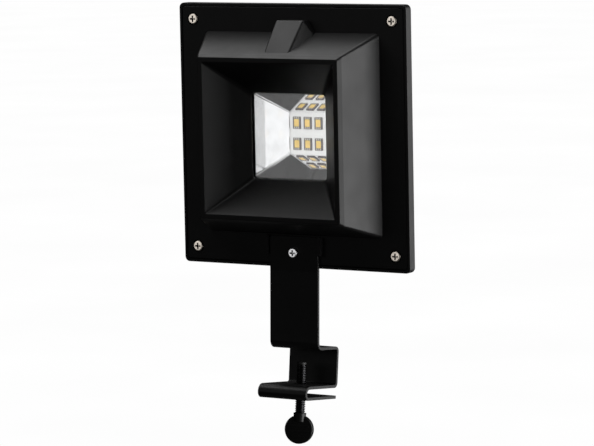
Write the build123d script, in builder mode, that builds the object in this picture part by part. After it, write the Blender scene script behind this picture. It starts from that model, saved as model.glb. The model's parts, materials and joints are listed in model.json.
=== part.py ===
from build123d import *
import math
import os

# Solar flood light on a clamp bracket.
# Frame: +X to the right, -Y to the lit side, +Z up. The origin is on the clamp seat, the underside
# of the bracket's shelf, where the thumb screw's axis meets it. Sizes are millimetres.

# ---- driving dimensions ----
lamp_size = 150.0  # outer square of the rear cover
lamp_y = -5.8  # depth 0, the plane of the front plate's face
lamp_z = 122.5  # centre of the lamp above the clamp seat
side_depth = 5.5  # straight side wall before the cover tapers
cover_depth = 26.0
cover_rear_size = 124.8
wall = 2.0

plate_size = 146.0  # front plate, set inside the cover's rim
plate_gap = 0.3
plate_thick = 2.4
hood_base = 115.0
hood_base_r = 2.6
hood_front = 91.7
hood_front_r = 1.3
hood_depth = 27.1
hood_shift = 1.3  # the hood's foot is this much above its mouth
bevel_depth = 2.6  # flatter band just behind the hood's mouth
bevel_draft = 0.62
land_width = 2.65
funnel_wall = 2.3
edge_r = 0.5  # broken outer edges of the mouldings

wedge_left_top = -6.8  # hollow block on top of the hood
wedge_left_foot = -8.8
wedge_right = 11.4  # where its right side starts to slope down
wedge_tail = 16.2
wedge_top = 65.9
wedge_knee = -5.7
wedge_toe = (-24.0, 46.6)
wedge_drop = 7.6
wedge_edge_r = 1.6

rib_width = 2.0  # ribs beside the strap
rib_length = 11.0
rib_height = 3.2
rib_z = -62.2

window_size = 49.4
window_depth = -4.7
ledge_thick = 1.2
seal_thick = 0.5
lens_size = 55.0
lens_thick = 1.6
collar_size = 60.0

mouth_size = 47.8  # reflector mouth
board_window = 24.4
board_depth = 17.6  # front face of the LED board
board_gap = 0.5  # the reflector's small end stands off the board
flange_size = 66.0
reflector_wall = 1.3
flange_thick = 1.2
led_board_size = 40.0
board_thick = 1.6
led_pitch_x = 7.2
led_pitch_z = 12.1

screw_grid = 131.4  # corner screws, centre to centre
screw_d = 3.0
strap_screw_z = -66.5
post_d = 7.2
post_end = 13.0

panel_width = 115.0
panel_height = 101.0
panel_shift = 6.5  # the panel sits above centre, clear of the button
panel_recess = 2.6
panel_gap = 0.5
tape_thick = 0.5
backsheet_thick = 1.0
cell_thick = 0.2
cover_sheet_thick = 0.6

button_z = -53.5
button_d = 8.6
button_travel = 0.8

cell_r = 9.2  # 18650 battery
cell_length = 65.0
cell_depth = 11.0
cell_z = 47.0
control_depth = 13.0  # front face of the control board
control_z = -48.0
control_width = 62.0
control_height = 20.0
lead_r = 0.7
panel_lead_x = 12.0
panel_lead_z = -33.0

strap_width = 32.0
sheet = 1.8
bend_radii = (5.0, 3.6, 2.1, 2.1, 3.6, 2.4)  # at the middle of the sheet, from the top down
sheet_edge_r = 0.3
clamp_tilt = math.radians(6.5)
strap_top = -57.0  # from the lamp's centre
strap_bend = -77.0
shelf_front = -8.5  # centre line of the strap at the shelf, forward of the screw axis
back_reach = 13.2
jaw_drop = -21.05
jaw_front = -20.1
flange_drop = -27.3
flange_back = 12.8

stud_r = 2.95
thread_pitch = 1.0
stud_tip = -9.2
stud_foot = -40.6
pad_r = 2.7
pad_top = -7.9
pad_foot = -9.1
tap_r = 3.0
clearance_r = 3.3
grip_centre = -46.3
grip_r = 8.3
grip_thick = 3.8
grip_turn = 16.0
boss_foot = 4.6  # the boss round the stud, above the grip's centre
boss_height = 4.8
rib_rows = ((2.1, 12.0), (-1.0, 12.5), (-4.1, 8.0))  # height and width of the grip's ridges

# ---- values worked out from them ----
corner_r = 3.0
rear_face = cover_depth
recess_floor = rear_face - panel_recess
inner_floor = recess_floor - 1.8
seal_gap = 0.8
ledge_depth = plate_thick + seal_gap
taper = (lamp_size - cover_rear_size) / 2 / (cover_depth - side_depth)
cavity_size = 140.0
cavity_rear_size = cavity_size - 2 * (inner_floor - ledge_depth) * (taper - 0.06)
bevel_size = hood_front + 2 * bevel_depth * bevel_draft
bevel_start = bevel_depth - hood_depth
shoulder_shift = 0.1
funnel_mouth = hood_front - 2 * land_width
lens_front = window_depth + ledge_thick + seal_thick
reflector_front = lens_front + lens_thick
reflector_end = board_depth - board_gap
reflector_screw = 30.4
led_screw = 16.6
post_x = 27.5
post_z = -53.5

os.makedirs("parts", exist_ok=True)


def depth_plane(depth, height=0.0, x=0.0):
    """Plane parallel to the lamp's face; depth grows rearwards and its normal points to the front."""
    return Plane(origin=(x, lamp_y + depth, lamp_z + height), x_dir=(1, 0, 0), z_dir=(0, -1, 0))


def rear_plane(depth, height=0.0, x=0.0):
    """The same plane with its normal pointing to the back."""
    return Plane(origin=(x, lamp_y + depth, lamp_z + height), x_dir=(-1, 0, 0), z_dir=(0, 1, 0))


def rounded_square(depth, size, radius, height=0.0):
    """A rounded square parallel to the lamp's face."""
    with BuildSketch(depth_plane(depth, height)) as outline:
        RectangleRounded(size, size, radius)
    return outline.sketch


def lamp_point(x, depth, height):
    """A point given from the centre of the lamp's face."""
    return (x, lamp_y + depth, lamp_z + height)


def clamp_point(x, back, up):
    """A point given in the tilted clamp's own directions from the seat."""
    return (
        x,
        back * math.cos(clamp_tilt) + up * math.sin(clamp_tilt),
        up * math.cos(clamp_tilt) - back * math.sin(clamp_tilt),
    )


def screw_plane(up):
    """Plane square to the thumb screw; its normal points up to the seat."""
    return Plane(
        origin=clamp_point(0, 0, up),
        x_dir=(1, 0, 0),
        z_dir=(0, math.sin(clamp_tilt), math.cos(clamp_tilt)),
    )


def pan_screw(plane, head_d, head_h, shank_d, length):
    """A pan head screw whose head stands on the plane and whose shank goes down behind it."""
    along = Axis(plane.origin, plane.z_dir)
    with BuildPart(plane) as screw:
        Cylinder(head_d / 2, head_h, align=(Align.CENTER, Align.CENTER, Align.MIN))
        fillet(screw.faces().sort_by(along)[-1].edges(), head_h * 0.5)
        Cylinder(shank_d / 2, length, align=(Align.CENTER, Align.CENTER, Align.MAX))
        chamfer(screw.faces().sort_by(along)[0].edges(), shank_d * 0.2)
        with BuildSketch(plane.offset(head_h)):
            Rectangle(head_d * 0.6, head_d * 0.16)
            Rectangle(head_d * 0.16, head_d * 0.6)
        extrude(amount=-head_h * 0.75, mode=Mode.SUBTRACT)
    return screw.part


def screw_square(plane_at, depth, half, **sizes):
    """Four alike screws at the corners of a square about the lamp's centre."""
    corners = [(side_x * half, side_z * half) for side_x in (-1, 1) for side_z in (-1, 1)]
    return Compound(children=[pan_screw(plane_at(depth, z, x), **sizes) for x, z in corners])


def save(part, name):
    """Label a finished piece and write it."""
    part.label = name
    export_step(part, f"parts/{name}.step")


# ---- hood wedge: the raised block on top of the hood, hollow inside ----
face_run = wedge_knee - wedge_toe[0]
face_rise = wedge_top - wedge_toe[1]
face_length = math.hypot(face_run, face_rise)
face_in = (face_rise / face_length, -face_run / face_length)  # square to the sloping face, inwards
knee_in = (1 - face_run / face_length) / (face_rise / face_length)


def wedge_section(x, inset, back=0.0):
    """Side view of the wedge at x, moved in by the inset and reaching back to the given depth."""
    outline = [
        (lamp_y + back, lamp_z + wedge_top - inset),
        (lamp_y + wedge_knee + inset * knee_in, lamp_z + wedge_top - inset),
        (lamp_y + wedge_toe[0] + inset * face_in[0], lamp_z + wedge_toe[1] + inset * face_in[1]),
        (lamp_y + back, lamp_z + wedge_toe[1] + inset * face_in[1]),
    ]
    with BuildSketch(Plane.YZ.offset(x)) as section:
        with BuildLine():
            Polyline(outline, close=True)
        make_face()
    return section.sketch


left_side = Plane(
    origin=(wedge_left_top, lamp_y, lamp_z + wedge_top),
    x_dir=(0, 1, 0),
    z_dir=(wedge_top - wedge_toe[1], 0, wedge_left_top - wedge_left_foot),
)
with BuildPart() as wedge:
    loft([wedge_section(wedge_left_foot, 0), wedge_section(wedge_right, 0)], ruled=True)
    loft([wedge_section(wedge_right, 0), wedge_section(wedge_tail, wedge_drop)], ruled=True)
    split(bisect_by=left_side, keep=Keep.TOP)
    upper = wedge.edges().filter_by_position(Axis.Z, lamp_z + wedge_toe[1] + 2, lamp_z + wedge_top)
    fillet(upper.filter_by_position(Axis.Y, lamp_y + wedge_toe[0], lamp_y - 1), wedge_edge_r)

# ---- front housing: plate, hood, funnel, lens ledge and strap socket in one moulding ----
with BuildPart() as front_housing:
    extrude(rounded_square(0, plate_size, 1.6), amount=-plate_thick)
    fillet(front_housing.faces().sort_by(Axis.Y)[0].edges(), edge_r)
    hood_foot = rounded_square(0, hood_base, hood_base_r, hood_shift)
    hood_shoulder = rounded_square(bevel_start, bevel_size, hood_front_r, shoulder_shift)
    hood_mouth = rounded_square(-hood_depth, hood_front, hood_front_r)
    loft([hood_foot, hood_shoulder])
    loft([hood_shoulder, hood_mouth])
    fillet(front_housing.faces().sort_by(Axis.Y)[0].edges(), edge_r)
    add(wedge.part)
    # hollow of the hood, behind its 2 mm wall and its land
    loft(
        [
            rounded_square(plate_thick, hood_base - 2.2 * wall, 1.0, hood_shift),
            rounded_square(bevel_start + 0.6, bevel_size - 2.2 * wall, 1.0, shoulder_shift),
        ],
        mode=Mode.SUBTRACT,
    )
    loft(
        [
            wedge_section(wedge_left_top + wall, wall, plate_thick),
            wedge_section(wedge_right, wall, plate_thick),
        ],
        ruled=True,
        mode=Mode.SUBTRACT,
    )
    # funnel wall, lens ledge and the collar round the lens
    loft(
        [
            rounded_square(-hood_depth + edge_r, funnel_mouth + 2 * funnel_wall, 1.5),
            rounded_square(window_depth, window_size + 2 * funnel_wall, 4.0),
        ]
    )
    extrude(rounded_square(window_depth, collar_size, 3.0), amount=window_depth - reflector_front)
    for x, z in [(sx * reflector_screw, sz * reflector_screw) for sx in (-1, 1) for sz in (-1, 1)]:
        with BuildSketch(depth_plane(reflector_front)):
            with Locations((x, z)):
                Circle(2.8)
        extrude(amount=5.9)
        with BuildSketch(depth_plane(reflector_front)):
            with Locations((x, z)):
                Circle(1.0)
        extrude(amount=5.0, mode=Mode.SUBTRACT)
    # the opening seen from the front
    loft(
        [
            rounded_square(-hood_depth, funnel_mouth, 1.0),
            rounded_square(window_depth, window_size, 3.0),
        ],
        mode=Mode.SUBTRACT,
    )
    fillet(front_housing.faces().sort_by(Axis.Y)[0].inner_wires()[0].edges(), edge_r)
    extrude(rounded_square(window_depth, window_size, 3.0), amount=-ledge_thick - 1, mode=Mode.SUBTRACT)
    extrude(
        rounded_square(window_depth + ledge_thick, lens_size + 0.4, 1.2),
        amount=window_depth + ledge_thick - reflector_front,
        mode=Mode.SUBTRACT,
    )
    # strap socket: a rib on each side of the strap
    for side in (-1, 1):
        with BuildSketch(depth_plane(0)):
            with Locations((side * (strap_width / 2 + rib_width / 2 + plate_gap), rib_z)):
                RectangleRounded(rib_width, rib_length, 0.6)
        extrude(amount=rib_height)
    # screw holes: counterbored at the corners, plain behind the strap
    with BuildSketch(depth_plane(0)):
        with GridLocations(screw_grid, screw_grid, 2, 2):
            Circle(3.7)
    extrude(amount=-1.2, mode=Mode.SUBTRACT)
    with BuildSketch(depth_plane(0)):
        with GridLocations(screw_grid, screw_grid, 2, 2):
            Circle(screw_d / 2 + 0.2)
        with Locations((0, strap_screw_z)):
            Circle(screw_d / 2 + 0.2)
    extrude(amount=-plate_thick, mode=Mode.SUBTRACT)
save(front_housing.part, "front_housing")

# ---- rear cover: tapered tray with screw posts, board posts and the panel recess ----
with BuildPart() as rear_cover:
    extrude(rounded_square(0, lamp_size, corner_r), amount=-side_depth)
    fillet(rear_cover.faces().sort_by(Axis.Y)[0].edges(), edge_r)
    loft([rounded_square(side_depth, lamp_size, corner_r), rounded_square(rear_face, cover_rear_size, 6.0)])
    fillet(rear_cover.faces().sort_by(Axis.Y)[-1].edges(), 2 * edge_r)
    extrude(rounded_square(0, plate_size + 2 * plate_gap, 1.8), amount=-ledge_depth, mode=Mode.SUBTRACT)
    loft(
        [rounded_square(ledge_depth, cavity_size, 3.0), rounded_square(inner_floor, cavity_rear_size, 4.0)],
        mode=Mode.SUBTRACT,
    )
    with BuildSketch(depth_plane(rear_face, panel_shift)):
        RectangleRounded(panel_width + 2 * panel_gap, panel_height + 2 * panel_gap, 2.0)
    extrude(amount=panel_recess, mode=Mode.SUBTRACT)
    # posts that take the corner screws and the strap screw
    with BuildSketch(depth_plane(ledge_depth)):
        with GridLocations(screw_grid, screw_grid, 2, 2):
            Circle(post_d / 2)
        with Locations((0, strap_screw_z)):
            Circle(post_d / 2)
    extrude(amount=ledge_depth - post_end)
    with BuildSketch(depth_plane(ledge_depth)):
        with GridLocations(screw_grid, screw_grid, 2, 2):
            Circle(screw_d / 2)
        with Locations((0, strap_screw_z)):
            Circle(screw_d / 2)
    extrude(amount=ledge_depth - post_end + 1.5, mode=Mode.SUBTRACT)
    # posts for the control board
    with BuildSketch(depth_plane(inner_floor)):
        with Locations((-post_x, post_z), (post_x, post_z)):
            Circle(2.6)
    extrude(amount=inner_floor - control_depth - board_thick)
    with BuildSketch(depth_plane(control_depth + board_thick)):
        with Locations((-post_x, post_z), (post_x, post_z)):
            Circle(1.0)
    extrude(amount=-5.0, mode=Mode.SUBTRACT)
    # button hole and the two holes for the panel's leads
    with BuildSketch(depth_plane(rear_face)):
        with Locations((0, button_z)):
            Circle(button_d / 2 + 0.3)
        with Locations((-panel_lead_x, panel_lead_z), (panel_lead_x, panel_lead_z)):
            Circle(1.2)
    extrude(amount=rear_face - inner_floor, mode=Mode.SUBTRACT)
save(rear_cover.part, "rear_cover")

# ---- housing seal: cord between the plate and the cover's ledge ----
with BuildPart() as housing_seal:
    extrude(rounded_square(plate_thick, 145.8, 1.6), amount=-seal_gap)
    extrude(rounded_square(plate_thick, 142.6, 1.2), amount=-seal_gap, mode=Mode.SUBTRACT)
save(housing_seal.part, "housing_seal")

# ---- corner screws and strap screw ----
corner_head = dict(head_d=6.2, head_h=1.8, shank_d=screw_d, length=9.5)
save(screw_square(depth_plane, 1.2, screw_grid / 2, **corner_head), "corner_screws")
save(pan_screw(depth_plane(-sheet, strap_screw_z), 5.8, 1.5, screw_d, 11.0), "strap_screw")

# ---- window seal and lens ----
with BuildPart() as lens_seal:
    extrude(rounded_square(window_depth + ledge_thick, lens_size, 1.0), amount=-seal_thick)
    extrude(rounded_square(window_depth + ledge_thick, 50.4, 3.0), amount=-seal_thick, mode=Mode.SUBTRACT)
save(lens_seal.part, "lens_seal")

with BuildPart() as window_lens:
    extrude(rounded_square(lens_front, lens_size, 1.0), amount=-lens_thick)
save(window_lens.part, "window_lens")

# ---- reflector: metallised pyramid with a flange at each end ----
with BuildPart() as reflector:
    loft(
        [
            rounded_square(reflector_front, mouth_size + 2 * reflector_wall, 1.6),
            rounded_square(reflector_end, board_window + 2 * reflector_wall, 1.2),
        ]
    )
    extrude(rounded_square(reflector_front, flange_size, 3.0), amount=-flange_thick)
    extrude(rounded_square(reflector_end, led_board_size, 2.0), amount=flange_thick)
    with BuildSketch(depth_plane(board_depth)):
        with GridLocations(2 * led_screw, 2 * led_screw, 2, 2):
            Circle(2.3)
    extrude(amount=4.6)
    with BuildSketch(depth_plane(board_depth)):
        with GridLocations(2 * led_screw, 2 * led_screw, 2, 2):
            Circle(0.8)
    extrude(amount=3.6, mode=Mode.SUBTRACT)
    loft(
        [
            rounded_square(reflector_front, mouth_size, 1.0),
            rounded_square(reflector_end, board_window, 0.6),
        ],
        mode=Mode.SUBTRACT,
    )
    with BuildSketch(depth_plane(reflector_front)):
        with GridLocations(2 * reflector_screw, 2 * reflector_screw, 2, 2):
            Circle(1.3)
    extrude(amount=-flange_thick, mode=Mode.SUBTRACT)
save(reflector.part, "reflector")

flange_head = dict(head_d=4.4, head_h=1.5, shank_d=2.0, length=5.6)
save(
    screw_square(rear_plane, reflector_front + flange_thick, reflector_screw, **flange_head),
    "reflector_screws",
)

# ---- LED board, its packages and their phosphor ----
with BuildPart() as led_board:
    extrude(rounded_square(board_depth, led_board_size, 1.5), amount=-board_thick)
    with BuildSketch(depth_plane(board_depth)):
        with GridLocations(2 * led_screw, 2 * led_screw, 2, 2):
            Circle(1.1)
    extrude(amount=-board_thick, mode=Mode.SUBTRACT)
save(led_board.part, "led_board")

with BuildPart() as led_packages:
    with BuildSketch(depth_plane(board_depth)):
        with GridLocations(led_pitch_x, led_pitch_z, 3, 2):
            RectangleRounded(4.9, 7.0, 0.3)
    extrude(amount=1.0)
    with BuildSketch(depth_plane(board_depth - 1.0)):
        with GridLocations(led_pitch_x, led_pitch_z, 3, 2):
            RectangleRounded(3.2, 4.3, 0.5)
    extrude(amount=-0.6, mode=Mode.SUBTRACT)
save(led_packages.part, "led_packages")

with BuildPart() as led_phosphors:
    with BuildSketch(depth_plane(board_depth - 0.4)):
        with GridLocations(led_pitch_x, led_pitch_z, 3, 2):
            RectangleRounded(3.2, 4.3, 0.5)
    extrude(amount=0.55)
save(led_phosphors.part, "led_phosphors")

led_head = dict(head_d=3.8, head_h=1.3, shank_d=1.6, length=4.8)
save(screw_square(rear_plane, board_depth + board_thick, led_screw, **led_head), "led_board_screws")

# ---- solar panel: tape, backsheet, cells, ribbons and cover sheet ----
with BuildPart() as panel_tape:
    with BuildSketch(depth_plane(recess_floor, panel_shift)):
        Rectangle(panel_width - 2, panel_height - 2)
        Rectangle(panel_width - 16, panel_height - 16, mode=Mode.SUBTRACT)
    extrude(amount=-tape_thick)
save(panel_tape.part, "panel_tape")

backsheet_depth = recess_floor + tape_thick
with BuildPart() as panel_backsheet:
    with BuildSketch(depth_plane(backsheet_depth, panel_shift)):
        RectangleRounded(panel_width, panel_height, 1.5)
    extrude(amount=-backsheet_thick)
save(panel_backsheet.part, "panel_backsheet")

cells_depth = backsheet_depth + backsheet_thick
with BuildPart() as solar_cells:
    with BuildSketch(depth_plane(cells_depth, panel_shift)):
        with GridLocations(54.6, 15.6, 2, 6):
            Rectangle(53.6, 15.0)
    extrude(amount=-cell_thick)
save(solar_cells.part, "solar_cells")

cover_sheet_depth = cells_depth + cell_thick
with BuildPart() as panel_cover:
    with BuildSketch(depth_plane(cover_sheet_depth, panel_shift)):
        RectangleRounded(panel_width, panel_height, 1.5)
    extrude(amount=-cover_sheet_thick)
save(panel_cover.part, "panel_cover")

# ---- battery: cell, terminal, tabs and saddles ----
battery_plane = Plane(origin=lamp_point(0, cell_depth, cell_z), x_dir=(0, 0, 1), z_dir=(1, 0, 0))
with BuildPart(battery_plane) as battery_cell:
    Cylinder(cell_r, cell_length)
    fillet(battery_cell.edges().filter_by(GeomType.CIRCLE), 0.8)
save(battery_cell.part, "battery_cell")

with BuildPart(battery_plane) as battery_terminal:
    with Locations((0, 0, cell_length / 2)):
        Cylinder(2.9, 0.8, align=(Align.CENTER, Align.CENTER, Align.MIN))
save(battery_terminal.part, "battery_terminal")

with BuildPart(battery_plane) as battery_tabs:
    with Locations((0, 0, cell_length / 2 + 0.8)):
        Box(5.0, 9.0, 0.2, align=(Align.CENTER, Align.CENTER, Align.MIN))
    with Locations((0, 0, -cell_length / 2)):
        Box(5.0, 9.0, 0.2, align=(Align.CENTER, Align.CENTER, Align.MAX))
save(battery_tabs.part, "battery_tabs")

with BuildPart() as battery_saddles:
    with BuildSketch(depth_plane(inner_floor, cell_z)):
        Rectangle(50, 21)
    extrude(amount=inner_floor - cell_depth - 3)
    with BuildSketch(battery_plane):
        Circle(cell_r + 0.15)
    extrude(amount=cell_length / 2, both=True, mode=Mode.SUBTRACT)
    with BuildSketch(depth_plane(inner_floor, cell_z)):
        Rectangle(30, 30)
    extrude(amount=inner_floor - cell_depth, mode=Mode.SUBTRACT)
save(battery_saddles.part, "battery_saddles")

# ---- control board and what is soldered to it ----
with BuildPart() as control_board:
    with BuildSketch(depth_plane(control_depth, control_z)):
        RectangleRounded(control_width, control_height, 1.0)
    extrude(amount=-board_thick)
    with BuildSketch(depth_plane(control_depth)):
        with Locations((-post_x, post_z), (post_x, post_z)):
            Circle(1.2)
    extrude(amount=-board_thick, mode=Mode.SUBTRACT)
save(control_board.part, "control_board")

control_screws = [
    pan_screw(depth_plane(control_depth, post_z, x), head_d=4.2, head_h=1.4, shank_d=2.0, length=6.0)
    for x in (-post_x, post_x)
]
save(Compound(children=control_screws), "control_board_screws")

with BuildPart() as control_chips:
    with BuildSketch(depth_plane(control_depth, control_z)):
        with Locations((-14, 2), (-3, 2)):
            Rectangle(5.0, 4.0)
    extrude(amount=1.5)
save(control_chips.part, "control_chips")

with BuildPart() as boost_inductor:
    with BuildSketch(depth_plane(control_depth, control_z)):
        with Locations((7, 2)):
            RectangleRounded(7.0, 7.0, 1.5)
    extrude(amount=4.0)
save(boost_inductor.part, "boost_inductor")

with BuildPart() as storage_capacitor:
    with BuildSketch(depth_plane(control_depth, control_z)):
        with Locations((18, 2)):
            Circle(3.15)
    extrude(amount=7.7)
    fillet(storage_capacitor.faces().sort_by(Axis.Y)[0].edges(), 0.5)
save(storage_capacitor.part, "storage_capacitor")

with BuildPart() as button_switch:
    with BuildSketch(depth_plane(control_depth + board_thick, button_z)):
        Rectangle(6.2, 6.2)
    extrude(amount=-3.5)
    with BuildSketch(depth_plane(control_depth + board_thick + 3.5, button_z)):
        Circle(1.7)
    extrude(amount=-1.1)
save(button_switch.part, "button_switch")

# ---- power button: flanged plunger through the rear wall, over the switch ----
with BuildPart() as power_button:
    with BuildSketch(depth_plane(inner_floor - 1.4, button_z)):
        Circle(5.6)
    extrude(amount=-1.2)
    with BuildSketch(depth_plane(inner_floor - 0.2, button_z)):
        Circle(button_d / 2)
    extrude(amount=inner_floor - rear_face - 1.2)
    fillet(power_button.faces().sort_by(Axis.Y)[-1].edges(), 0.8)
save(power_button.part, "power_button")


def lead(points):
    """A round lead along straight runs joined by small bends."""
    with BuildPart() as tube:
        with BuildLine() as path:
            FilletPolyline(*points, radius=1.1)
        with BuildSketch(Plane(origin=path.line @ 0, z_dir=path.line % 0)):
            Circle(lead_r)
        sweep(path=path.line)
    return tube.part


def lead_set(side, battery_end):
    """The battery, LED and panel leads on one side of the lamp."""
    pad_z = control_z + 5.5
    run_x = side * (battery_end + 5.0)
    battery_lead = [
        lamp_point(side * battery_end, cell_depth, cell_z),
        lamp_point(run_x, cell_depth, cell_z),
        lamp_point(run_x, control_depth - 4.5, pad_z),
        lamp_point(side * 28.0, control_depth - 4.5, pad_z),
        lamp_point(side * 28.0, control_depth, pad_z),
    ]
    back = control_depth + board_thick
    led_run = board_depth + board_thick + 1.25
    led_lead = [
        lamp_point(side * 8.0, back, pad_z),
        lamp_point(side * 8.0, led_run, pad_z),
        lamp_point(side * 8.0, led_run, -15.0),
        lamp_point(side * 8.0, board_depth + board_thick, -15.0),
    ]
    panel_lead = [
        lamp_point(side * panel_lead_x, backsheet_depth, panel_lead_z),
        lamp_point(side * panel_lead_x, back + 2.4, panel_lead_z),
        lamp_point(side * panel_lead_x, back + 2.4, pad_z),
        lamp_point(side * panel_lead_x, back, pad_z),
    ]
    return Compound(children=[lead(battery_lead), lead(led_lead), lead(panel_lead)])


save(lead_set(1, cell_length / 2 + 1.0), "leads_red")
save(lead_set(-1, cell_length / 2 + 0.2), "leads_black")

# ---- bracket strap: one bent sheet, strap, shelf, back plate, jaw, lip and flange ----
section = Plane(
    origin=(-strap_width / 2, 0, 0),
    x_dir=(0, 1, 0),
    z_dir=(1, 0, 0),
)
section_points = [
    (lamp_y - sheet / 2, lamp_z + strap_top),
    (lamp_y - sheet / 2, lamp_z + strap_bend),
    clamp_point(0, shelf_front, sheet / 2)[1:],
    clamp_point(0, back_reach, sheet / 2)[1:],
    clamp_point(0, back_reach, jaw_drop)[1:],
    clamp_point(0, jaw_front, jaw_drop)[1:],
    clamp_point(0, jaw_front, flange_drop)[1:],
    clamp_point(0, flange_back, flange_drop)[1:],
]
with BuildPart() as bracket_strap:
    with BuildSketch(section) as strap_section:
        with BuildLine() as centre_line:
            Polyline(*section_points)
            for corner, radius in zip(section_points[1:-1], bend_radii):
                fillet(centre_line.vertices().sort_by_distance(corner)[0], radius)
        trace(line_width=sheet)
    extrude(amount=strap_width)
    strap_ends = bracket_strap.edges().filter_by(Axis.Y).group_by(Axis.Z)[-1]
    fillet(strap_ends, 2.0)
    fillet(bracket_strap.faces().filter_by(Plane.YZ).edges(), sheet_edge_r)
    with BuildSketch(depth_plane(-sheet)):
        with Locations((0, strap_screw_z)):
            Circle(screw_d / 2 + 0.2)
    extrude(amount=-sheet, mode=Mode.SUBTRACT)
    with BuildSketch(screw_plane(jaw_drop + sheet)):
        Circle(clearance_r)
    extrude(amount=-2 * sheet, mode=Mode.SUBTRACT)
    with BuildSketch(screw_plane(flange_drop + sheet)):
        Circle(tap_r)
    extrude(amount=-2 * sheet, mode=Mode.SUBTRACT)
save(bracket_strap.part, "bracket_strap")

# ---- thumb screw: steel stud, moulded grip and the swivelling pad on its tip ----
with BuildPart() as thumb_stud:
    with BuildSketch(screw_plane(stud_foot)):
        Circle(stud_r)
    extrude(amount=stud_tip - stud_foot)
    chamfer(thumb_stud.edges().filter_by(GeomType.CIRCLE).sort_by(Axis.Z)[-1], 0.5)
    with BuildSketch(screw_plane(stud_tip)):
        Circle(1.2)
    extrude(amount=0.7)
save(thumb_stud.part, "thumb_stud")

with BuildPart() as tip_pad:
    with BuildSketch(screw_plane(pad_foot)):
        Circle(pad_r)
    extrude(amount=pad_top - pad_foot)
    with BuildSketch(screw_plane(pad_foot)):
        Circle(1.25)
    extrude(amount=0.8, mode=Mode.SUBTRACT)
save(tip_pad.part, "tip_pad")

grip_plane = Plane(
    origin=clamp_point(0, 0, grip_centre),
    x_dir=(math.cos(math.radians(grip_turn)), math.sin(math.radians(grip_turn)), 0),
    z_dir=Vector(*screw_plane(0).z_dir),
)
with BuildPart(grip_plane) as thumb_grip:
    with Locations(Location((0, 0, 0), (90, 0, 0))):
        Cylinder(grip_r, grip_thick)
    fillet(thumb_grip.edges().filter_by(GeomType.CIRCLE), 0.6)
    with Locations((0, 0, boss_foot)):
        Cone(3.3, 3.7, boss_height, align=(Align.CENTER, Align.CENTER, Align.MIN))
    for height, width in rib_rows:
        with Locations((0, 0, height)):
            Box(width, grip_thick + 1.2, 0.9)
    with Locations((0, 0, stud_foot - grip_centre)):
        Cylinder(stud_r, 8.0, align=(Align.CENTER, Align.CENTER, Align.MIN), mode=Mode.SUBTRACT)
save(thumb_grip.part, "thumb_grip")
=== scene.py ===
import json
import math
import bmesh
import bpy
from mathutils import Matrix, Vector


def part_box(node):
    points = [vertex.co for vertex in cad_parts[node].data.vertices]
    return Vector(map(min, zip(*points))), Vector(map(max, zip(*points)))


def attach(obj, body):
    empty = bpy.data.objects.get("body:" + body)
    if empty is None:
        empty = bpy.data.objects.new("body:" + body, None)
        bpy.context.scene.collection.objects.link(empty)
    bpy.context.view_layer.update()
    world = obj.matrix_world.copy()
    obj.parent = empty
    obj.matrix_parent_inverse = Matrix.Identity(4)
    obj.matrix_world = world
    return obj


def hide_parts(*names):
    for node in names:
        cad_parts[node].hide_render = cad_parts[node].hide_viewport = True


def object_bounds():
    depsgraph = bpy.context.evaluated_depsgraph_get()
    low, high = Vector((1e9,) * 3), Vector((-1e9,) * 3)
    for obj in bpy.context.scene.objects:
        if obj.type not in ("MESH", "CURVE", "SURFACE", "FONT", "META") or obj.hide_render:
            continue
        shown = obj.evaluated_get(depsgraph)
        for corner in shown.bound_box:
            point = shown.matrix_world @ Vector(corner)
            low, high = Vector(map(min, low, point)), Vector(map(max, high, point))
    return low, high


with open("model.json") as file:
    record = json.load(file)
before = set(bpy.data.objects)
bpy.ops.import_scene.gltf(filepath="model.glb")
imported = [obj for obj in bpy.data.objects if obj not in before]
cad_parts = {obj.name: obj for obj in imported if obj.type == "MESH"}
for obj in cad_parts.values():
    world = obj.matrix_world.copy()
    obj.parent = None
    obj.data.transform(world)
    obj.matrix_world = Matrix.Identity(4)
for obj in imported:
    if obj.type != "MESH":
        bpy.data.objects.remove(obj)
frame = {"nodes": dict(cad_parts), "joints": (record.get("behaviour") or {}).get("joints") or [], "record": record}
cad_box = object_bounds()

MM = 0.001
nodes = frame["nodes"]

# ---- places taken from the frame ----
cover_low, cover_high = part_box("rear_cover")
face_y = cover_low[1]  # plane of the lamp's lit face, at the rim
lamp_centre = Vector((0.0, face_y, (cover_low[2] + cover_high[2]) / 2))
screw_joint = next(j for j in frame["joints"] if j["name"] == "screw_turn")
screw_axis = Vector(screw_joint["axis"]).normalized()


def lamp_point(x, depth, height):
    """The place of a point given in millimetres from the face's centre; depth grows rearwards."""
    return lamp_centre + Vector((x, depth, height)) * MM


def screw_point(up):
    """The place of a point on the thumb screw's axis, given in millimetres above the clamp seat."""
    return screw_axis * up * MM


def screw_outward(angle):
    """The direction that points away from the thumb screw's axis at an angle round it."""
    across = screw_axis.orthogonal().normalized()
    other = screw_axis.cross(across)
    return across * math.cos(angle) + other * math.sin(angle)


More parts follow.
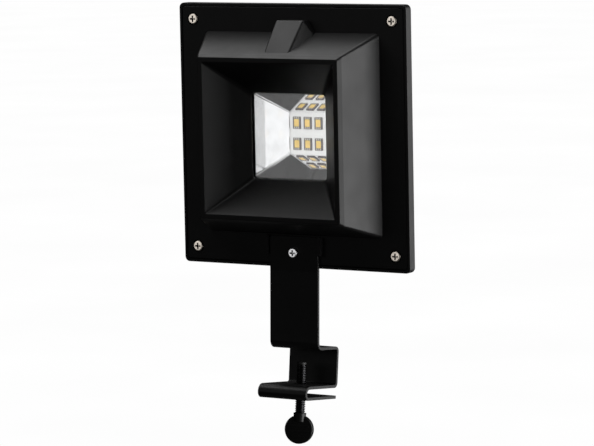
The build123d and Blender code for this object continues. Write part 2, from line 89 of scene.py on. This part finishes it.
# ---- node tools ----
class Shader:
    """A material's node tree, with short calls for the nodes used here."""

    def __init__(self, name):
        self.material = bpy.data.materials.new(name)
        self.material.use_nodes = True
        self.tree = self.material.node_tree
        self.tree.nodes.clear()
        self.out = self.tree.nodes.new("ShaderNodeOutputMaterial")
        self.coords = self.tree.nodes.new("ShaderNodeTexCoord").outputs["Object"]

    def node(self, kind, **settings):
        made = self.tree.nodes.new(kind)
        for key, value in settings.items():
            setattr(made, key, value)
        return made

    def link(self, source, target):
        self.tree.links.new(source, target)

    def surface(self, **values):
        """The principled surface, with constants set on its own sockets."""
        made = self.node("ShaderNodeBsdfPrincipled")
        for key, value in values.items():
            made.inputs[key.replace("_", " ")].default_value = value
        self.link(made.outputs["BSDF"], self.out.inputs["Surface"])
        return made

    def noise(self, scale, detail=3.0, roughness=0.5):
        made = self.node("ShaderNodeTexNoise")
        made.inputs["Scale"].default_value = scale
        made.inputs["Detail"].default_value = detail
        made.inputs["Roughness"].default_value = roughness
        self.link(self.coords, made.inputs["Vector"])
        return made.outputs["Fac"]

    def spread(self, value, low, high, start=0.3, end=0.7):
        """Maps a value's range from start to end onto low to high."""
        made = self.node("ShaderNodeMapRange")
        self.link(value, made.inputs["Value"])
        made.inputs["From Min"].default_value = start
        made.inputs["From Max"].default_value = end
        made.inputs["To Min"].default_value = low
        made.inputs["To Max"].default_value = high
        return made.outputs["Result"]

    def colours(self, value, stops):
        """A colour ramp through pairs of place and colour."""
        made = self.node("ShaderNodeValToRGB")
        ramp = made.color_ramp
        while len(ramp.elements) < len(stops):
            ramp.elements.new(0.5)
        for element, (place, colour) in zip(ramp.elements, stops):
            element.position = place
            element.color = (*colour, 1.0)
        self.link(value, made.inputs["Fac"])
        return made.outputs["Color"]

    def mix(self, factor, first, second, **settings):
        """Mixes two colours; the factor is a socket or a number."""
        made = self.node("ShaderNodeMix", data_type="RGBA", **settings)
        colour_a, colour_b = (socket for socket in made.inputs if socket.type == "RGBA")
        for source, target in ((factor, made.inputs["Factor"]), (first, colour_a), (second, colour_b)):
            if isinstance(source, bpy.types.NodeSocket):
                self.link(source, target)
            else:
                target.default_value = source
        return next(socket for socket in made.outputs if socket.type == "RGBA")

    def bump(self, value, height, strength, normal=None):
        made = self.node("ShaderNodeBump")
        made.inputs["Distance"].default_value = height
        made.inputs["Strength"].default_value = strength
        self.link(value, made.inputs["Height"])
        if normal is not None:
            self.link(normal, made.inputs["Normal"])
        return made.outputs["Normal"]


def shades(colour, change):
    """Ramp stops for two shades of a colour, darker and lighter by the same part."""
    darker = tuple(c * (1 - change) for c in colour)
    lighter = tuple(c * (1 + change) for c in colour)
    return [(0.3, darker), (0.7, lighter)]


def plain(name, colour, rough, change=0.12, grain=900.0, bump=0.00002):
    """A moulded or painted surface: slow colour mottle, uneven gloss and a fine grain."""
    s = Shader(name)
    p = s.surface()
    s.link(s.colours(s.noise(60.0, 4.0), shades(colour, change)), p.inputs["Base Color"])
    s.link(s.spread(s.noise(102.0, 5.0, 0.6), rough * 0.88, rough * 1.12), p.inputs["Roughness"])
    s.link(s.bump(s.noise(grain, 2.0, 0.6), bump, 0.6), p.inputs["Normal"])
    return s.material


def moulded_black():
    """Satin black ABS: a faint flow mottle under a fine spark-eroded grain."""
    s = Shader("moulded_black")
    p = s.surface(IOR=1.5)
    tone = shades((0.0062, 0.0062, 0.0064), 0.15)
    s.link(s.colours(s.noise(38.0, 4.0), tone), p.inputs["Base Color"])
    s.link(s.spread(s.noise(90.0, 5.0, 0.6), 0.38, 0.46), p.inputs["Roughness"])
    fine = s.bump(s.noise(2600.0, 2.0, 0.7), 0.00001, 0.5)
    s.link(s.bump(s.noise(240.0, 3.0, 0.5), 0.00002, 0.25, fine), p.inputs["Normal"])
    return s.material


def mirror_metal():
    """Vacuum metallised plastic: bright, with the moulding's ripple and a little haze."""
    s = Shader("mirror_metal")
    p = s.surface(Metallic=1.0)
    s.link(s.colours(s.noise(120.0, 5.0), shades((0.90, 0.90, 0.905), 0.04)), p.inputs["Base Color"])
    s.link(s.spread(s.noise(260.0, 4.0, 0.6), 0.03, 0.08), p.inputs["Roughness"])
    ripple = s.bump(s.noise(60.0, 3.0, 0.55), 0.0002, 0.2)
    s.link(s.bump(s.noise(520.0, 2.0), 0.00002, 0.2, ripple), p.inputs["Normal"])
    return s.material


def clear_sheet(name):
    """Clear acrylic with the faintest haze."""
    s = Shader(name)
    p = s.surface(Transmission_Weight=1.0, IOR=1.49)
    s.link(s.colours(s.noise(30.0, 2.0), shades((0.96, 0.965, 0.965), 0.01)), p.inputs["Base Color"])
    s.link(s.spread(s.noise(150.0, 4.0), 0.0, 0.025), p.inputs["Roughness"])
    return s.material


def metal(name, colour, smoothest, roughest):
    """Plated metal with an uneven gloss, and painted shade that darkens its colour in recesses."""
    recess = 0.0015
    s = Shader(name)
    p = s.surface(Metallic=1.0)
    tone = s.colours(s.noise(360.0, 4.0), shades(colour, 0.1))
    hollow = s.node("ShaderNodeAmbientOcclusion", samples=8)
    hollow.inputs["Distance"].default_value = recess
    s.link(tone, hollow.inputs["Color"])
    # painted shade: the colour goes nearly black where the AO finds a recess, such as the screws' cross slots
    recess_shade = s.colours(hollow.outputs["AO"], [(0.55, (0.01, 0.01, 0.01)), (0.9, (1, 1, 1))])
    shaded_tone = s.mix(1.0, hollow.outputs["Color"], recess_shade, blend_type="MULTIPLY")
    s.link(shaded_tone, p.inputs["Base Color"])
    s.link(s.spread(s.noise(630.0, 4.0, 0.6), smoothest, roughest), p.inputs["Roughness"])
    s.link(s.bump(s.noise(900.0, 3.0, 0.6), 0.00002, 0.5), p.inputs["Normal"])
    return s.material


def solar_silicon():
    """Dark blue cells crossed by fine silver fingers."""
    silver = (0.25, 0.26, 0.28, 1.0)
    s = Shader("solar_silicon")
    p = s.surface(Metallic=0.2, IOR=1.6)
    wave = s.node("ShaderNodeTexWave", bands_direction="X")
    wave.inputs["Scale"].default_value = 160.0
    s.link(s.coords, wave.inputs["Vector"])
    finger = s.spread(wave.outputs["Fac"], 0.0, 1.0, 0.93, 0.99)
    blue = s.colours(s.noise(120.0, 6.0, 0.7), shades((0.006, 0.010, 0.035), 0.4))
    s.link(s.mix(finger, blue, silver), p.inputs["Base Color"])
    s.link(s.spread(s.noise(300.0, 4.0), 0.18, 0.3), p.inputs["Roughness"])
    return s.material


finishes = {
    "housing_plastic": moulded_black(),
    "seal_rubber": plain("seal_rubber", (0.012, 0.012, 0.012), 0.7),
    "clear_lens": clear_sheet("clear_lens"),
    "reflector_metal": mirror_metal(),
    "screw_steel": metal("screw_steel", (0.55, 0.55, 0.56), 0.22, 0.38),
    "led_mask": plain("led_mask", (0.88, 0.88, 0.87), 0.35, change=0.03, grain=500.0, bump=0.00001),
    "led_body": plain("led_body", (0.10, 0.082, 0.08), 0.35, change=0.15, grain=700.0),
    "led_phosphor": plain("led_phosphor", (0.86, 0.60, 0.15), 0.28, change=0.1, grain=1500.0),
    "foam_tape": plain("foam_tape", (0.02, 0.02, 0.02), 0.85, change=0.2, grain=1500.0, bump=0.0001),
    "panel_board": plain("panel_board", (0.012, 0.014, 0.02), 0.4),
    "solar_cell": solar_silicon(),
    "panel_glass": clear_sheet("panel_glass"),
    "battery_sleeve": plain("battery_sleeve", (0.03, 0.10, 0.25), 0.3),
    "tab_nickel": metal("tab_nickel", (0.6, 0.57, 0.52), 0.25, 0.4),
    "inner_plastic": plain("inner_plastic", (0.05, 0.05, 0.05), 0.5),
    "circuit_board": plain("circuit_board", (0.008, 0.07, 0.025), 0.35),
    "chip_plastic": plain("chip_plastic", (0.015, 0.015, 0.015), 0.5),
    "capacitor_can": metal("capacitor_can", (0.45, 0.45, 0.47), 0.3, 0.45),
    "button_rubber": plain("button_rubber", (0.02, 0.02, 0.02), 0.6),
    "lead_red": plain("lead_red", (0.35, 0.01, 0.01), 0.4),
    "lead_black": plain("lead_black", (0.01, 0.01, 0.01), 0.4),
    "screw_zinc": metal("screw_zinc", (0.55, 0.5, 0.44), 0.3, 0.5),
    "strap_paint": plain(
        "strap_paint", (0.006, 0.006, 0.0062), 0.42, change=0.15, grain=1300.0, bump=0.00004,
    ),
    "stud_steel": metal("stud_steel", (0.10, 0.10, 0.105), 0.2, 0.34),
    "grip_plastic": plain("grip_plastic", (0.007, 0.007, 0.007), 0.35),
    "pad_plastic": plain("pad_plastic", (0.02, 0.02, 0.02), 0.5),
}


def finish_nodes():
    """Each CAD node gets the finish of its material slot."""
    for row in frame["record"]["subparts"]:
        materials = nodes[row["node"]].data.materials
        materials.clear()
        materials.append(finishes[row["material_slot"]])


finish_nodes()


def piece(name, mesh_maker, body, slot_name, *stands_for):
    """Makes a mesh object from a bmesh function and puts it on a body."""
    mesh = bpy.data.meshes.new(name)
    bm = bmesh.new()
    mesh_maker(bm)
    bm.to_mesh(mesh)
    bm.free()
    obj = bpy.data.objects.new(name, mesh)
    bpy.context.scene.collection.objects.link(obj)
    mesh.materials.append(finishes[slot_name])
    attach(obj, body)
    if stands_for:
        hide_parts(*stands_for)


# ---- thumb screw's thread, in millimetres ----
turn_steps = 48
thread_pitch = 1.0
crest_r = 2.95
root_r = 2.42
# rises along one pitch, as parts of it, and the radius at each
thread_profile = [(0.0, root_r), (0.2, root_r), (0.52, crest_r), (0.68, crest_r)]
tip_chamfer = 0.5
foot_margin = 0.3  # from the stud's foot to the thread
tip_margin = 1.2  # from the thread to the stud's tip, which the pad hides
merge_gap = 0.0001
stud_low, stud_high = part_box("thumb_stud")
thread_foot = stud_low[2] / MM / screw_axis.z + foot_margin
thread_top = stud_high[2] / MM / screw_axis.z - tip_margin


def stud(bm):
    """M6 x 1 thread on the screw's own axis, as one closed surface."""
    winding(bm)
    stud_ends(bm)
    bmesh.ops.remove_doubles(bm, verts=bm.verts, dist=merge_gap * MM)


def winding(bm):
    """The thread as one strip of faces that winds up the stud; it is flat at both ends."""
    turns = (thread_top - thread_foot) / thread_pitch + 2
    rows = []
    for step in range(int(turns * turn_steps) + 1):
        out = screw_outward(2 * math.pi * step / turn_steps)
        base = thread_foot + (step / turn_steps - 1) * thread_pitch
        row = []
        for rise, radius in thread_profile:
            up = base + rise * thread_pitch
            kept = min(max(up, thread_foot), thread_top)
            if up != kept:
                radius = root_r
            row.append(bm.verts.new(screw_point(kept) + out * radius * MM))
        rows.append(row)
    for low, high in zip(rows, rows[1:]):
        for k in range(len(thread_profile) - 1):
            bm.faces.new((low[k], high[k], high[k + 1], low[k + 1]))
    next_turn = rows[turn_steps:]
    for start, end, above, above_end in zip(rows, rows[1:], next_turn, next_turn[1:]):
        bm.faces.new((start[-1], end[-1], above_end[0], above[0]))


def ring(bm, up, radius):
    """A circle of points round the screw's axis."""
    angles = (2 * math.pi * step / turn_steps for step in range(turn_steps))
    return [bm.verts.new(screw_point(up) + screw_outward(angle) * radius * MM) for angle in angles]


def stud_ends(bm):
    """The stud's flat foot and its chamfered tip."""
    bm.faces.new(list(reversed(ring(bm, thread_foot, root_r))))
    low = ring(bm, thread_top, root_r)
    high = ring(bm, thread_top + tip_chamfer, root_r - tip_chamfer)
    for k in range(turn_steps):
        beside = (k + 1) % turn_steps
        bm.faces.new((low[k], low[beside], high[beside], high[k]))
    bm.faces.new(high)


piece("stud_thread", stud, "thumb_screw", "stud_steel", "thumb_stud")


# ---- LED packages' contacts ----
def bar(bm, centre, size):
    """A small block with its edges broken, by a fifth of its thickness."""
    made = bmesh.ops.create_cube(bm, size=1.0)["verts"]
    bmesh.ops.scale(bm, verts=made, vec=Vector(size) * MM)
    bmesh.ops.translate(bm, verts=made, vec=centre)
    edges = list({edge for vert in made for edge in vert.link_edges})
    bmesh.ops.bevel(bm, geom=edges, offset=min(size) * 0.2 * MM, segments=2, affect="EDGES")


led_width = 4.9
led_height = 7.0
contact_size = (0.62, 0.06, 0.95)
contact_pitch = 1.25
contact_rise = 2.83  # from a package's centre to a row of its contacts
contact_depth = 0.01  # the contacts' centres, forward of the package's face
led_low, led_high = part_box("led_packages")
led_face = (led_low[1] - face_y) / MM
led_columns = [led_low[0] / MM + led_width / 2, 0.0, led_high[0] / MM - led_width / 2]
led_rows = [
    (led_low[2] - lamp_centre.z) / MM + led_height / 2,
    (led_high[2] - lamp_centre.z) / MM - led_height / 2,
]


def led_contacts(bm):
    """Three tinned contacts at the top and at the bottom of each package's face."""
    for x in led_columns:
        for z in led_rows:
            for end in (-1, 1):
                for step in (-1, 0, 1):
                    place = lamp_point(
                        x + step * contact_pitch,
                        led_face - contact_depth,
                        z + end * contact_rise,
                    )
                    bar(bm, place, contact_size)


piece("led_contacts", led_contacts, "lamp", "tab_nickel")


# ---- solar panel's ribbons ----
busbar_places = (-40.9, -13.7, 13.7, 40.9)
busbar_width = 1.4
busbar_thick = 0.06
busbar_margin = 1.0  # bare cell past each end of a busbar
cross_length = 83.0
cross_width = 2.0
cross_thick = 0.08
cross_gap = 2.0  # from the cells' top edge to the cross ribbon's middle
cell_low, cell_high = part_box("solar_cells")
cells_face = (cell_high[1] - face_y) / MM
cells_middle = ((cell_low[2] + cell_high[2]) / 2 - lamp_centre.z) / MM
cells_height = (cell_high[2] - cell_low[2]) / MM


def ribbons(bm):
    """Four flat busbars down the cells, and the ribbon across their tops that joins them."""
    for x in busbar_places:
        centre = lamp_point(x, cells_face + busbar_thick / 2, cells_middle)
        bar(bm, centre, (busbar_width, busbar_thick, cells_height - 2 * busbar_margin))
    top = cells_middle + cells_height / 2 + cross_gap
    bar(bm, lamp_point(0, cells_face - cross_thick, top), (cross_length, cross_thick, cross_width))


piece("panel_ribbons", ribbons, "lamp", "tab_nickel")


# ---- the studio ----
room_light = 0.015  # what the object sees of the room
floor_size = 40.0
floor_drop = 0.6  # below the object
camera_angles = (31.507, 6.582, -1.153)  # azimuth, elevation and roll, in degrees
camera_distance = 1.9137
camera_aim = lamp_point(1.6, 0.0, -49.5)
camera_lens = 204.2


def by_ray(tree, camera_output, other_output, target):
    """Sends one shader to the camera's own rays and another to all other rays."""
    path = tree.nodes.new("ShaderNodeLightPath")
    mix = tree.nodes.new("ShaderNodeMixShader")
    tree.links.new(path.outputs["Is Camera Ray"], mix.inputs["Fac"])
    tree.links.new(other_output, mix.inputs[1])
    tree.links.new(camera_output, mix.inputs[2])
    tree.links.new(mix.outputs["Shader"], target)


def room():
    """White all round for the camera; the object itself sees a dim room."""
    world = bpy.data.worlds.new("studio")
    bpy.context.scene.world = world
    world.use_nodes = True
    tree = world.node_tree
    white = tree.nodes["Background"]
    dim = tree.nodes.new("ShaderNodeBackground")
    for background in (white, dim):
        background.inputs["Color"].default_value = (1.0, 1.0, 1.0, 1.0)
    dim.inputs["Strength"].default_value = room_light
    target = tree.nodes["World Output"].inputs["Surface"]
    by_ray(tree, white.outputs["Background"], dim.outputs["Background"], target)


def floor():
    """A pale floor for the camera, which throws little light back at the object."""
    place = (0, 0, cad_box[0][2] - floor_drop)
    bpy.ops.mesh.primitive_plane_add(size=floor_size, location=place)
    obj = bpy.context.active_object
    obj.name = "floor"
    s = Shader("floor")
    seen = s.node("ShaderNodeEmission")
    s.link(s.colours(s.noise(2.0), shades((0.99, 0.99, 0.99), 0.01)), seen.inputs["Color"])
    felt = s.node("ShaderNodeBsdfDiffuse")
    felt.inputs["Color"].default_value = (0.1, 0.1, 0.1, 1.0)
    by_ray(s.tree, seen.outputs["Emission"], felt.outputs["BSDF"], s.out.inputs["Surface"])
    obj.data.materials.append(s.material)


def softbox(name, direction, distance, size, radiance, only=None):
    """A rectangular light aimed at the lamp; its power follows from its radiance and its size."""
    light = bpy.data.lights.new(name, "AREA")
    light.shape = "RECTANGLE"
    light.size, light.size_y = size
    light.energy = radiance * math.pi * size[0] * size[1]
    obj = bpy.data.objects.new(name, light)
    bpy.context.scene.collection.objects.link(obj)
    toward = Vector(direction).normalized()
    obj.location = lamp_centre + toward * distance
    obj.rotation_euler = (-toward).to_track_quat("-Z", "Y").to_euler()
    if only:
        lit = bpy.data.collections.new(name + "_lit")
        for node in only:
            lit.objects.link(nodes[node])
        obj.light_linking.receiver_collection = lit


def camera():
    """A long lens on the lamp's right, a little above it."""
    azimuth, elevation, roll = (math.radians(angle) for angle in camera_angles)
    back = Vector((
        math.sin(azimuth) * math.cos(elevation),
        -math.cos(azimuth) * math.cos(elevation),
        math.sin(elevation),
    ))
    right = Vector((math.cos(azimuth), math.sin(azimuth), 0.0))
    up = back.cross(right)
    right, up = (
        right * math.cos(roll) + up * math.sin(roll),
        up * math.cos(roll) - right * math.sin(roll),
    )
    place = camera_aim + back * camera_distance
    data = bpy.data.cameras.new("camera")
    data.lens = camera_lens
    data.sensor_width = 36.0
    data.clip_end = 60.0
    obj = bpy.data.objects.new("camera", data)
    bpy.context.scene.collection.objects.link(obj)
    obj.matrix_world = Matrix((
        (right.x, up.x, back.x, place.x),
        (right.y, up.y, back.y, place.y),
        (right.z, up.z, back.z, place.z),
        (0, 0, 0, 1),
    ))
    bpy.context.scene.camera = obj


led_board_nodes = ["led_board", "led_packages", "led_phosphors"]
bright_nodes = ["window_lens", "reflector", *led_board_nodes, "corner_screws", "strap_screw"]
# name, direction from the lamp, distance, width and height, radiance
softboxes = [
    ("side_back", (0.72, 0.70, -0.05), 1.5, (1.3, 1.8), 1.4),
    ("side_right", (1.0, 0.12, 0.0), 1.4, (0.9, 1.6), 3.4),
    ("side_front", (0.9, -0.5, 0.1), 1.6, (0.7, 1.4), 0.22),
    ("overhead", (-0.35, 0.1, 0.9), 1.3, (1.6, 1.3), 1.7),
    ("front_dim", (-0.5, -0.85, 0.2), 1.5, (1.4, 0.6), 0.22),
    # these two reach only the nodes named last
    ("window_fill", (-0.45, -0.9, 0.35), 1.3, (2.6, 2.0), 1.25, bright_nodes),
    ("board_fill", (0.1, -1.0, 0.15), 1.2, (0.9, 0.9), 4.5, led_board_nodes),
]

room()
floor()
for row in softboxes:
    softbox(*row)
for pane in ("window_lens", "panel_cover"):
    nodes[pane].visible_shadow = False  # clear sheets let the light through
camera()
bpy.context.scene.view_settings.view_transform = "Standard"
